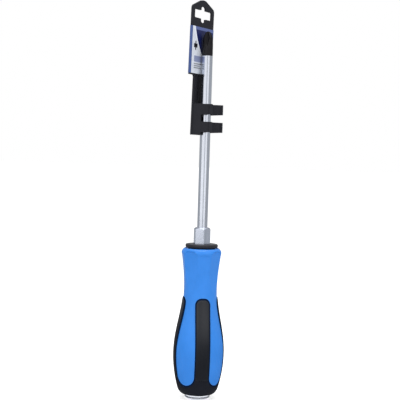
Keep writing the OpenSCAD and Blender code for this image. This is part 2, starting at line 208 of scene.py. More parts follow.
class HangerSettings(bpy.types.PropertyGroup):
    """Moulded hanger and its printed sleeve."""

    edge: length("Edge", "Rounding of the moulded edges", 0.22)
    lean: angle("Lean", "Lean of the plate towards the blade", 1.2)
    stem_w: length("Stem width", "Width of the stem", 18)
    notch_w: length("Notch width", "Width of the notches of the hanging slot in the solid", 5)
    notch_more: length("Notch widening", "How much wider the notches are made", 1.6)
    notch_low: length("Notch low end", "Lower end of the lower notch, below the top of the head", 17.3)
    notch_high: length("Notch high end", "Upper end of the upper notch, below the top of the head", 4.6)
    cheek_t: length("Cheek thickness", "Thickness of the cheeks of the clip", 1.3)
    cheek_w: length("Cheek width", "Width over the cheeks beside the blade", 15)
    arm_w: length("Arm width", "Width over the free ends of the arms", 17)
    cheek_top: length("Cheek top", "Height of a cheek above its upper arm", 0.15)
    arm_rise: length("Arm rise", "Height of the lower arms above the end of the stem", 1.8)
    arm_h: length("Arm height", "Height of an arm at its root", 8.35)
    arm_end_h: length("Arm end height", "Height of an arm at its free end", 7.6)
    arm_gap: length("Arm gap", "Space between the arms", 5.1)
    sleeve_t: length("Sleeve thickness", "Thickness of the printed sleeve", 0.3)
    sleeve_corner: length("Sleeve corner", "Corner radius of the folded sleeve", 0.6)
    black: colour("Hanger black", "Colour of the moulding", (0.0238, 0.0243, 0.0292))
    pale: colour("Print ground", "Pale ground of the print", (0.65, 0.69, 0.77))
    mid_blue: colour("Print sides", "Folded sides of the print", (0.053, 0.090, 0.248))
    light_blue: colour("Print band", "Light band at the head of the field", (0.095, 0.13, 0.32))
    deep_blue: colour("Print field", "Deep blue field of the print", (0.005, 0.011, 0.085))
    ink: colour("Print ink", "Ink of the small marks", (0.008, 0.008, 0.012))


class StageSettings(bpy.types.PropertyGroup):
    """Camera, light and floor."""

    azimuth: angle("Azimuth", "Turn of the camera about the blade", -59)
    elevation: angle("Elevation", "Camera's view down on the aim point", 2.4)
    roll: angle("Roll", "Roll of the camera", 1.75)
    distance: length("Distance", "Distance from the camera to the aim point", 757.5)
    aim_z: length("Aim height", "Height of the aim point on the blade", 153.4)
    aim_side: length("Aim side", "How far the blade stands to the right of the picture's middle", 2.38)
    lens: share("Lens", "Focal length on a 36 mm sensor, in millimetres", 88.7)
    ambient: share("Ambient", "Level of the light from all round", 0.80)
    overhead: share("Overhead", "Power of the overhead softbox, in watts", 6.0)
    front: share("Front", "Power of each of the two front softboxes, in watts", 2.8)
    floor_white: share("Floor", "Albedo of the floor", 0.80)
    floor_glow: share("Floor glow", "Level that lifts the floor to white for the eye", 0.54)
    card_grey: share("Cards", "Level of the grey cards that give bright metal its edges", 0.44)
    line_grey: share("Line", "Level of the narrow card that gives bright metal a fine line", 0.55)
    near_grey: share("Near table", "Level of the floor close by and of its low edge, in gloss", 0.13)


SETTINGS = {
    "driver_blade": BladeSettings,
    "driver_bolster": BolsterSettings,
    "driver_cap": CapSettings,
    "driver_handle": HandleSettings,
    "driver_grip": GripSettings,
    "driver_hanger": HangerSettings,
    "driver_stage": StageSettings,
}


# Shapes


def quads(rows, columns, closed):
    """Corner numbers of the quads of a grid numbered row by row, whose rows may close into rings."""
    i, j = np.meshgrid(np.arange(rows - 1), np.arange(columns if closed else columns - 1), indexing="ij")
    here, right = i * columns + j, i * columns + (j + 1) % columns
    return np.stack([here, right, right + columns, here + columns], -1).reshape(-1, 4)


def closed_rings(points):
    """Closed skin through rings of points, lowest ring first and each ring anticlockwise from above.
    The first and the last ring close with a fan to their own middle."""
    rows, columns = points.shape[:2]
    poles = np.stack([points[0].mean(0), points[-1].mean(0)])
    j = np.arange(columns)
    right = (j + 1) % columns
    low, high = rows * columns, rows * columns + 1
    top = (rows - 1) * columns
    fans = np.concatenate([
        np.stack([np.full(columns, low), right, j], -1),
        np.stack([np.full(columns, high), top + j, top + right], -1),
    ])
    faces = quads(rows, columns, True).tolist() + fans.tolist()
    return np.concatenate([points.reshape(-1, 3), poles]), faces


def closed_tube(points):
    """Skin of a grid that closes both ways, such as a section carried round a closed path."""
    rows, columns = points.shape[:2]
    return points, (quads(rows + 1, columns, True) % (rows * columns)).tolist()


def around(count):
    """Angles of the points of a ring, as a row."""
    return np.linspace(0, 2 * math.pi, count, endpoint=False)[None, :]


def revolved(radius, height, theta):
    """Points at the given radius and height about the blade's axis, with a row for each height."""
    radius, height, theta = np.broadcast_arrays(radius, height, theta)
    return np.stack([radius * np.cos(theta), radius * np.sin(theta), height], -1)


def turned_skin(outline):
    """Closed skin of a line of (r, z) points turned about the blade's axis."""
    columns = 160
    return closed_rings(revolved(outline[:, :1], outline[:, 1:], around(columns)))


def nearest(theta, count, turn):
    """Angle from the nearest of count evenly spaced directions, the first of them at turn."""
    pitch = 2 * math.pi / count
    return (theta - turn + pitch / 2) % pitch - pitch / 2


def soft_min(a, b, width):
    """The smaller of two lengths, blended over the given width: (a + b - sqrt((a - b)^2 + width^2)) / 2."""
    return (a + b - np.sqrt((a - b) ** 2 + width**2)) / 2


def ease(x):
    """Smooth step from 0 to 1."""
    x = np.clip(x, 0, 1)
    return x * x * (3 - 2 * x)


def parabola(start, corner, end, steps):
    """Points of the parabola from start to end whose tangents there meet in the corner."""
    t = np.linspace(0, 1, steps)[:, None]
    return (1 - t) ** 2 * start + 2 * t * (1 - t) * corner + t**2 * end


def rounded(points, radius, steps):
    """A line through (r, z) points whose inner corners become parabolas. A parabola starts radius before its
    corner, and at most a set share of the side before it."""
    most = 0.45
    points = np.asarray(points, float)
    parts = [points[:1]]
    for before, corner, after in zip(points[:-2], points[1:-1], points[2:]):
        ends = []
        for other in (before, after):
            side = np.linalg.norm(other - corner)
            ends.append(corner + min(radius, most * side) * (other - corner) / side)
        parts.append(parabola(ends[0], corner, ends[1], steps))
    return np.concatenate([*parts, points[-1:]])


def new_object(data):
    """An object of a mesh, a light or a camera, with its name, in the scene."""
    made = bpy.data.objects.new(data.name, data)
    bpy.context.scene.collection.objects.link(made)
    return made


def mesh_object(name, skin, finish):
    """An object of points and faces with one finish."""
    points, faces = skin
    mesh = bpy.data.meshes.new(name)
    mesh.from_pydata(points.reshape(-1, 3).tolist(), [], faces)
    mesh.update()
    mesh.materials.append(finish)
    return new_object(mesh)


def add_piece(name, skin, finish, body, node=None, sharp=32):
    """Makes a piece that rides a body and may stand for a node, smooth up to the sharp angle in degrees."""
    piece = mesh_object(name, skin, finish)
    piece.data.shade_smooth()
    piece.data.set_sharp_from_angle(angle=math.radians(sharp))
    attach(piece, body)
    if node:
        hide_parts(node)
    return piece


def paint(piece, finishes, numbers):
    """Adds finishes to a piece and gives each face a finish by number, 0 being the one it has already."""
    for finish in finishes:
        piece.data.materials.append(finish)
    piece.data.polygons.foreach_set("material_index", numbers.astype(np.int32))


def round_edges(piece, width):
    """Rounds the sharp edges of a moulded piece."""
    rounding = piece.modifiers.new("moulded_edges", "BEVEL")
    rounding.width = width
    rounding.segments = 3
    rounding.limit_method = "ANGLE"
    rounding.angle_limit = math.radians(35)
    rounding.harden_normals = True


def butt_height(handle):
    """Height at which the butt rounding begins."""
    return CAP_LOW.z + bpy.context.scene.driver_cap.flange_h + handle.butt_round_h


def rim_height(handle):
    """Height at which the rim rounding begins."""
    return SHELL_HIGH.z - handle.rim_round_h * math.sin(handle.round_sweep)


def side_radius(handle, z, power):
    """Radius of the handle at height z: a parabola below the belly, a power of half a cosine wave from the
    belly to the waist, and a power of the height from the waist to the rim. The fingers have power 1."""
    belly_r, belly_z, waist_r, waist_z = SHELL_HIGH.x, handle.belly_z, handle.waist_r, handle.waist_z
    low = belly_r - (belly_r - handle.butt_r) * ((belly_z - z) / (belly_z - butt_height(handle))) ** 2
    wave = (1 + np.cos(math.pi * (z - belly_z) / (waist_z - belly_z))) / 2
    middle = waist_r + (belly_r - waist_r) * wave**power
    rise = np.maximum(z - waist_z, 0) / (rim_height(handle) - waist_z)
    flare = waist_r + (handle.rim_r - waist_r) * rise**handle.flare
    return np.where(z < belly_z, low, np.where(z < waist_z, middle, flare))


# Finishes


WHITE = (1.0, 1.0, 1.0, 1.0)
# Depths of the relief of steel, of mouldings and of print, and the roughness that a smudge adds.
LINE_DEPTH, GRAIN_DEPTH, PRINT_DEPTH = 0.03 * MM, 0.06 * MM, 0.02 * MM
SMUDGE = 0.05


class Nodes:
    """Adds nodes to a tree, with inputs given by name or number as values or as sockets to link."""

    def __init__(self, tree):
        self.tree = tree

    def feed(self, node, inputs):
        """Sets or links inputs of a node."""
        for key, value in inputs.items():
            if isinstance(value, bpy.types.NodeSocket):
                self.tree.links.new(value, node.inputs[key])
            else:
                node.inputs[key].default_value = value

    def add(self, kind, inputs=None, **settings):
        """A new node with its settings and inputs."""
        node = self.tree.nodes.new(kind)
        for key, value in settings.items():
            setattr(node, key, value)
        self.feed(node, inputs or {})
        return node

    def group(self, name, **inputs):
        """Outputs of a node of the named group."""
        return self.add("ShaderNodeGroup", inputs, node_tree=bpy.data.node_groups[name]).outputs

    def math(self, operation, a, b=0.0):
        """One arithmetic step on two values."""
        return self.add("ShaderNodeMath", {0: a, 1: b}, operation=operation).outputs[0]

    def mix(self, factor, a, b):
        """A colour between a and b."""
        return self.add("ShaderNodeMix", {0: factor, 6: a, 7: b}, data_type="RGBA").outputs[2]

    def vary(self, factor, rgb, low, high):
        """A colour between two gains of itself."""
        return self.mix(factor, rgba(rgb, low), rgba(rgb, high))

    def blend(self, factor, a, b):
        """A value between a and b."""
        return self.add("ShaderNodeMix", {0: factor, 2: a, 3: b}, data_type="FLOAT").outputs[0]

    def step(self, value, low, high):
        """0 below low, 1 above high, smooth between. With low above high it falls instead."""
        inputs = {"Value": value, "From Min": low, "From Max": high}
        return self.add("ShaderNodeMapRange", inputs, interpolation_type="SMOOTHSTEP").outputs[0]

    def noise(self, vector, scale, detail=3.0, rough=0.55):
        """Smooth noise between about 0 and 1."""
        inputs = {"Vector": vector, "Scale": scale, "Detail": detail, "Roughness": rough}
        return self.add("ShaderNodeTexNoise", inputs).outputs["Fac"]

    def vector(self, operation, a, b=(0.0, 0.0, 0.0), output=0):
        """One step on two vectors."""
        return self.add("ShaderNodeVectorMath", {0: a, 1: b}, operation=operation).outputs[output]

    def seen(self):
        """1 for rays of the camera and for those that gloss or glass sends on."""
        path = self.add("ShaderNodeLightPath").outputs
        onward = self.math("MAXIMUM", path["Is Glossy Ray"], path["Is Transmission Ray"])
        return self.math("MAXIMUM", path["Is Camera Ray"], onward)


def rgba(rgb, gain=1.0):
    """A colour with full alpha, made lighter or darker."""
    return (*[c * gain for c in rgb], 1.0)


def emptied(owner):
    """Nodes helper for the emptied tree of a material or a world."""
    owner.use_nodes = True
    owner.node_tree.nodes.clear()
    return Nodes(owner.node_tree)


def new_group(name, values, outputs):
    """Starts a shader node group that takes a vector and numbers with defaults, and gives numbers.
    Returns its Nodes helper, the outputs of its input node, and its output node."""
    tree = bpy.data.node_groups.new(name, "ShaderNodeTree")
    tree.interface.new_socket("Vector", in_out="INPUT", socket_type="NodeSocketVector")
    for label, default in values.items():
        socket = tree.interface.new_socket(label, in_out="INPUT", socket_type="NodeSocketFloat")
        socket.default_value = default
    for label in outputs:
        tree.interface.new_socket(label, in_out="OUTPUT", socket_type="NodeSocketFloat")
    nodes = Nodes(tree)
    return nodes, nodes.add("NodeGroupInput").outputs, nodes.add("NodeGroupOutput")


def grain_group():
    """Moulded grain: a fine height field and a slow mottle, both from Object coordinates."""
    defaults = {"Grain": 2500.0, "Mottle": 90.0}
    n, source, sink = new_group("moulded_grain", defaults, ("Height", "Mottle"))
    fine = n.noise(source["Vector"], source["Grain"], detail=2.0)
    slow = n.noise(source["Vector"], source["Mottle"], detail=4.0, rough=0.6)
    n.feed(sink, {"Height": fine, "Mottle": n.step(slow, 0.3, 0.7)})


def streak_group():
    """Drawn streaks, which are noise stretched along the blade into fine lines, and slow smudges."""
    defaults = {"Fineness": 1800.0, "Stretch": 0.012}
    n, source, sink = new_group("drawn_streaks", defaults, ("Streak", "Smudge"))
    squeeze = n.add("ShaderNodeCombineXYZ", {"X": 1.0, "Y": 1.0, "Z": source["Stretch"]}).outputs[0]
    lines = n.noise(n.vector("MULTIPLY", source["Vector"], squeeze), source["Fineness"], rough=0.6)
    slow = n.noise(source["Vector"], scale=70.0)
    n.feed(sink, {"Streak": n.step(lines, 0.3, 0.7), "Smudge": n.step(slow, 0.35, 0.7)})


def new_finish(name, **constants):
    """A material with a Principled shader whose constant sockets are set.
    Returns it with its Nodes helper, the shader and Object coordinates."""
    material = bpy.data.materials.new(name)
    nodes = emptied(material)
    constants = {key.replace("_", " "): value for key, value in constants.items()}
    shader = nodes.add("ShaderNodeBsdfPrincipled", constants)
    nodes.add("ShaderNodeOutputMaterial", {"Surface": shader.outputs[0]})
    return material, nodes, shader, nodes.add("ShaderNodeTexCoord").outputs["Object"]


def dress(nodes, shader, tone, rough, height, strength, depth):
    """Feeds a shader with a colour, a roughness and the bump of a height field."""
    bump = nodes.add("ShaderNodeBump", {"Strength": strength, "Distance": depth, "Height": height})
    nodes.feed(shader, {"Base Color": tone, "Roughness": rough, "Normal": bump.outputs[0]})


def blade_finish(blade):
    """Satin chrome with drawn streaks, and a black burnished tip with a slightly uneven edge."""
    finish, n, shader, place = new_finish("blade_chrome", Specular_IOR_Level=0.3)
    streaks = n.group("drawn_streaks", Vector=place, Fineness=1500.0, Stretch=0.01)
    grain = n.group("moulded_grain", Vector=place, Grain=1600.0, Mottle=260.0)
    z = n.add("ShaderNodeSeparateXYZ", {0: place}).outputs["Z"]
    start, wave, soft = BLADE_HIGH.z - blade.burnish_len, 0.25 * MM, 0.5 * MM
    tip = n.step(n.math("ADD", z, n.math("MULTIPLY", grain["Mottle"], wave)), start, start + soft)
    bright = n.vary(streaks["Streak"], blade.chrome, 0.90, 1.04)
    black = n.vary(grain["Mottle"], blade.burnish, 0.75, 1.3)
    satin = n.blend(streaks["Streak"], 0.12, 0.18)
    satin = n.math("ADD", satin, n.math("MULTIPLY", streaks["Smudge"], SMUDGE))
    rough = n.blend(tip, satin, n.blend(grain["Mottle"], 0.36, 0.48))
    height = n.blend(tip, streaks["Streak"], grain["Height"])
    dress(n, shader, n.mix(tip, bright, black), rough, height, strength=0.12, depth=LINE_DEPTH)
    n.feed(shader, {"Metallic": n.blend(tip, 1.0, 0.6)})
    return finish


def steel_finish(name, steel, rough):
    """Satin steel with drawn streaks and slow smudges."""
    finish, n, shader, place = new_finish(name, Metallic=1.0)
    streaks = n.group("drawn_streaks", Vector=place, Fineness=900.0, Stretch=0.03)
    tone = n.vary(streaks["Streak"], steel, 0.90, 1.06)
    satin = n.blend(streaks["Streak"], rough - 0.05, rough + 0.06)
    satin = n.math("ADD", satin, n.math("MULTIPLY", streaks["Smudge"], SMUDGE))
    dress(n, shader, tone, satin, streaks["Streak"], strength=0.15, depth=LINE_DEPTH)
    return finish


def turned_finish(cap):
    """Turned steel: fine rings about the axis, from the distance to it."""
    finish, n, shader, place = new_finish("cap_turned", Metallic=1.0)
    radius = n.vector("LENGTH", n.vector("MULTIPLY", place, (1.0, 1.0, 0.0)), output="Value")
    along = n.add("ShaderNodeCombineXYZ", {"X": radius}).outputs[0]
    rings = n.noise(along, scale=5200.0, detail=2.0)
    grain = n.group("moulded_grain", Vector=place, Grain=1800.0, Mottle=240.0)
    turned, uneven = n.step(rings, 0.3, 0.7), 0.03
    tone = n.vary(turned, cap.steel, 0.92, 1.06)
    rough = n.math("ADD", n.blend(turned, 0.13, 0.18), n.math("MULTIPLY", grain["Mottle"], uneven))
    dress(n, shader, tone, rough, turned, strength=0.15, depth=LINE_DEPTH)
    return finish


def moulded_finish(name, tone, rough, relief, gloss, grain=1500.0, mottle=0.08):
    """Moulded plastic or rubber: slow mottle in colour and gloss, and fine grain."""
    finish, n, shader, place = new_finish(name, Specular_IOR_Level=gloss)
    field = n.group("moulded_grain", Vector=place, Grain=grain, Mottle=75.0)
    tone = n.vary(field["Mottle"], tone, 1 - mottle, 1 + mottle)
    rough = n.blend(field["Mottle"], rough - 0.04, rough + 0.05)
    dress(n, shader, tone, rough, field["Height"], strength=relief, depth=GRAIN_DEPTH)
    return finish


def print_finish(hanger):
    """Coated print: blue folded sides, a pale ground, a deep blue round field with a pale rim and a light
    band at its head, a cross sign, and a plain block and rules below it."""
    finish, n, shader, place = new_finish("label_print", Specular_IOR_Level=0.3)
    x, _, z = n.add("ShaderNodeSeparateXYZ", {0: place}).outputs
    half, low, soft = (LABEL_HIGH.x - LABEL_LOW.x) / 2, LABEL_LOW.z, 0.15 * MM

    def inside(value, start, end):
        """1 between two lengths, with soft ends."""
        rise = n.step(value, start - soft, start + soft)
        return n.math("MULTIPLY", rise, n.step(value, end + soft, end - soft))

    def block(left, right, bottom, top):
        """1 in a rectangle of the face, in millimetres from its left edge and its lower edge."""
        across = inside(x, left * MM - half, right * MM - half)
        return n.math("MULTIPLY", across, inside(z, low + bottom * MM, low + top * MM))

    grain = n.group("moulded_grain", Vector=place, Grain=1400.0, Mottle=320.0)
    tone = n.vary(grain["Mottle"], hanger.pale, 0.96, 1.04)

    field_r, rim_w, head_h = 60 * MM, 0.8 * MM, 2.4 * MM
    centre = (62.4 * MM - half, low + 52.3 * MM, 0.0)
    here = n.add("ShaderNodeCombineXYZ", {"X": x, "Y": z}).outputs[0]
    to_centre = n.vector("DISTANCE", here, centre, output="Value")
    field = n.step(to_centre, field_r + soft, field_r - soft)
    head = LABEL_HIGH.z - head_h
    head = n.math("MULTIPLY", field, n.step(z, head - soft, head + soft))
    tone = n.mix(field, tone, rgba(hanger.deep_blue))
    tone = n.mix(head, tone, rgba(hanger.light_blue))
    tone = n.mix(inside(to_centre, field_r, field_r + rim_w), tone, rgba(hanger.pale, 1.3))

    sign_x, sign_z, marks = 6.2, 21, 0.0
    for half_w, half_h in ((0.7, 3.4), (2.5, 1.5)):
        bar = block(sign_x - half_w, sign_x + half_w, sign_z - half_h, sign_z + half_h)
        marks = n.math("MAXIMUM", marks, bar)
    left, rule_h, rule_ink, patch_ink = 4.6, 0.8, 0.7, 0.75
    for right, rise in ((16, 6.9), (13, 5.4), (15, 3.9)):
        rule = block(left, right, rise, rise + rule_h)
        marks = n.math("MAXIMUM", marks, n.math("MULTIPLY", rule, rule_ink))
    tone = n.mix(marks, tone, rgba(hanger.ink))
    patch = n.math("MULTIPLY", block(left, 17, 8.8, 13.4), patch_ink)
    tone = n.mix(patch, tone, rgba(hanger.light_blue))

    fold = half - 1.2 * MM
    fold = n.step(n.math("ABSOLUTE", x), fold, fold + soft)
    tone = n.mix(fold, tone, rgba(hanger.mid_blue))
    rough = n.blend(grain["Mottle"], 0.34, 0.42)
    dress(n, shader, tone, rough, grain["Height"], strength=0.05, depth=PRINT_DEPTH)
    return finish


# Operators


class SCREWDRIVER_OT_groups(bpy.types.Operator):
    """Makes the node groups that several finishes share"""

    bl_idname = "screwdriver.groups"
    bl_label = "Shared effects"

    def execute(self, context):
        grain_group()
        streak_group()
        return {"FINISHED"}


class SCREWDRIVER_OT_blade(bpy.types.Operator):
    """Makes the round blade with its cross-head tip.
    The radius is the smaller of the turned outline and, in each flute, a / (cos t - |sin t|). That is a
    square V whose root stands a from the axis, where t is the angle from the flute's middle and a grows with
    a power of the distance from the end"""

    bl_idname = "screwdriver.blade"
    bl_label = "Blade"

    def execute(self, context):
        blade = context.scene.driver_blade
        tip, low = BLADE_HIGH.z, BLADE_LOW.z
        foot, corner, crease, beyond = 0.5 * MM, 0.35 * MM, 0.06 * MM, 0.8 * MM
        valley, least, inner = 0.06, 0.05, 0.3
        shaft_rows, flute_rows, columns = 60, 90, 288
        cone = tip - blade.tip_cone_h
        shoulder = cone - (2 * SHAFT_R - blade.wing_end_d) / 2 / math.tan(blade.wing_angle)
        outline = rounded([
            (SHAFT_R - foot, low), (SHAFT_R, low + foot), (SHAFT_R, shoulder),
            (blade.wing_end_d / 2, cone), (blade.tip_flat_d / 2, tip), (inner * blade.tip_flat_d, tip),
        ], corner, steps=6)
        z = np.unique(np.concatenate([
            outline[:, 1],
            np.linspace(low + MM, shoulder, shaft_rows),
            np.linspace(tip - blade.flute_len - MM, tip, flute_rows),
        ]))[:, None]
        turned = np.interp(z, outline[:, 1], outline[:, 0])
        theta = around(columns)
        t = nearest(theta, 4, blade.flute_turn)
        rise = ((tip - z) / blade.flute_len) ** blade.flute_runout
        root = blade.flute_root + (SHAFT_R - blade.flute_root) * rise
        sine = np.sqrt(np.sin(t) ** 2 + valley**2) - valley
        flute = root / np.maximum(np.cos(t) - sine, least)
        below = z < tip - blade.flute_len - beyond
        skin = closed_rings(revolved(np.where(below, turned, soft_min(turned, flute, crease)), z, theta))
        add_piece("blade_steel_skin", skin, blade_finish(blade), "driver", "blade", sharp=24)
        return {"FINISHED"}


class SCREWDRIVER_OT_bolster(bpy.types.Operator):
    """Makes the hexagonal bolster.
    The radius is the smallest of the hexagon, half its width over cos t with t the angle from the nearest
    flat's middle, a cylinder that eases its six edges, and the cone of the chamfer. The chamfer and the
    countersink have a rougher finish of their own in a darker copy of the steel, which is painted shade that
    dims their highlight"""

    bl_idname = "screwdriver.bolster"
    bl_label = "Bolster"

    def execute(self, context):
        bolster, handle = context.scene.driver_bolster, context.scene.driver_handle
        low, top = BOLSTER_LOW.z, BOLSTER_HIGH.z
        slope, edge_blend, cone_blend = 0.75, 0.05 * MM, 0.08 * MM
        side_rows, cone_rows, columns = 12, 25, 360
        corner = bolster.across / 2 / math.cos(math.pi / 6)
        start = top - 2 * slope * bolster.chamfer
        side_z, cone_z = np.linspace(low, start, side_rows), np.linspace(start, top, cone_rows)
        z = np.concatenate([side_z, cone_z[1:]])[:, None]
        theta = around(columns)
        t = nearest(theta, 6, handle.turn + math.pi / 6)
        hexagon = soft_min(bolster.across / 2 / np.cos(t), corner - bolster.edge, edge_blend)
        cone = corner - bolster.chamfer + (top - z) / slope
        side = revolved(soft_min(hexagon, cone, cone_blend), z, theta)
        sink_z = np.array([[top], [top - bolster.sink_h]])
        sink = revolved(np.array([[bolster.sink_r], [SHAFT_R]]), sink_z, theta)
        skin = closed_rings(np.concatenate([side, sink]))
        finish = steel_finish("bolster_satin", bolster.steel, rough=0.20)
        piece = add_piece("bolster_skin", skin, finish, "driver", "hex_bolster", sharp=22)
        on_cone = (cone[1:] < hexagon).reshape(-1)
        numbers = np.ones(len(skin[1]))
        numbers[:on_cone.size] = on_cone
        # The chamfer and the countersink take the darker copy of the steel, which is painted shade.
        paint(piece, [steel_finish("bolster_chamfer_painted_shade", bolster.turned, rough=0.30)], numbers)
        return {"FINISHED"}


class SCREWDRIVER_OT_cap(bpy.types.Operator):
    """Makes the strike cap: a turned outline with a flat face, a domed edge, a fine groove and a spigot"""

    bl_idname = "screwdriver.cap"
    bl_label = "Strike cap"

    def execute(self, context):
        cap = context.scene.driver_cap
        cap_r, low, top = CAP_HIGH.x, CAP_LOW.z, CAP_HIGH.z
        flange = low + cap.flange_h
        groove, groove_half, groove_depth = low + cap.dome_h + 0.5 * MM, 0.25 * MM, 0.35 * MM
        corner, dome_rows, face_inner, spigot_inner = 0.15 * MM, 17, 0.5, 0.6
        sweep = np.linspace(0, math.pi / 2, dome_rows)
        dome_r = cap.face_r + (cap_r - cap.face_r) * np.sin(sweep)
        dome = np.stack([dome_r, low + cap.dome_h * (1 - np.cos(sweep))], -1)
        wall = rounded([
            dome[-1], (cap_r, groove - groove_half), (cap_r - groove_depth, groove),
            (cap_r, groove + groove_half), (cap_r, flange), (cap.spigot_r, flange),
            (cap.spigot_r, top), (spigot_inner * cap.spigot_r, top),
        ], corner, steps=5)
        skin = turned_skin(np.concatenate([[[face_inner * cap.face_r, low]], dome, wall[1:]]))
        add_piece("strike_cap_skin", skin, turned_finish(cap), "driver", "strike_cap", sharp=40)
        return {"FINISHED"}


class SCREWDRIVER_OT_shell(bpy.types.Operator):
    """Makes the hard shell of the handle and gives the core in it a finish.
    The outline is side_radius with a rounded rim and a seat for the collar. On the neck the radius is the
    smaller of that and (r - d) / cos t, a flat at depth d, where t is the angle from the nearest flat's
    middle and d is a smooth step at each end of the flat. The wide flats start in an arch"""

    bl_idname = "screwdriver.shell"
    bl_label = "Handle shell"

    def execute(self, context):
        handle = context.scene.driver_handle
        rim_z, seat_z = rim_height(handle), SHELL_HIGH.z - handle.seat_depth
        rim_rows, side_rows, columns = 20, 190, 256
        seat_sweep = math.acos(1 - (handle.rim_r - handle.seat_r) / handle.rim_round_r)
        sweep = np.linspace(0, seat_sweep, rim_rows)[1:]
        side_z = np.linspace(SHELL_LOW.z, rim_z, side_rows)
        side = np.stack([side_radius(handle, side_z, handle.scoop), side_z], -1)
        rim_r = handle.rim_r - handle.rim_round_r * (1 - np.cos(sweep))
        rim = np.stack([rim_r, rim_z + handle.rim_round_h * np.sin(sweep)], -1)
        inner = 0.6
        seat = [[handle.seat_r, seat_z], [inner * handle.seat_r, seat_z]]
        outline = np.concatenate([[[inner * side[0, 0], SHELL_LOW.z]], side, rim, seat])
        radius, z = outline[:, :1], outline[:, 1:]
        theta = around(columns)
        narrow, wide = nearest(theta, 4, handle.turn), nearest(theta, 4, handle.turn + math.pi / 4)
        arch = ease(handle.facet_full * (1 - np.abs(wide) / handle.facet_half))
        start, end = rim_z - handle.facet_low + handle.facet_arch * arch, rim_z - handle.facet_len
        depth = ease((start - z) / handle.facet_lead) * ease((z - end) / handle.facet_fade)
        flat = np.minimum(
            (radius - handle.facet_depth * depth) / np.cos(narrow),
            (radius - handle.facet_wide_depth * depth) / np.cos(wide),
        )
        blend, full = 0.12 * MM, 0.15
        radius = radius + (soft_min(radius, flat, blend) - radius) * ease(depth / full)
        skin = closed_rings(revolved(radius, z, theta))
        finish = moulded_finish("shell_blue", handle.blue, rough=0.34, relief=0.06, gloss=0.42, mottle=0.03)
        add_piece("handle_shell_skin", skin, finish, "driver", "handle_shell")
        finish = moulded_finish("core_moulded", handle.core_grey, rough=0.5, relief=0.1, gloss=0.4)
        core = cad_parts["handle_core"]
        core.data.materials.clear()
        core.data.materials.append(finish)
        return {"FINISHED"}


class SCREWDRIVER_OT_collar(bpy.types.Operator):
    """Makes the front collar: a turned ring with a rounded upper edge and a gap above the rim"""

    bl_idname = "screwdriver.collar"
    bl_label = "Front collar"

    def execute(self, context):
        handle = context.scene.driver_handle
        low, top = COLLAR_LOW.z - handle.seat_depth, COLLAR_HIGH.z + handle.collar_lift
        gap = COLLAR_LOW.z + handle.gap_h
        outer = COLLAR_HIGH.x
        neck, inner = outer - handle.gap_depth, 0.5 * outer
        outline = [(inner, low), (neck, low), (neck, gap), (outer, gap), (outer, top), (inner, top)]
        skin = turned_skin(rounded(outline, handle.collar_round, steps=12))
        black = handle.collar_black
        finish = moulded_finish("collar_black", black, rough=0.45, relief=0.12, gloss=0.3, grain=1800.0)
        add_piece("front_collar_skin", skin, finish, "driver", "front_collar", sharp=50)
        return {"FINISHED"}


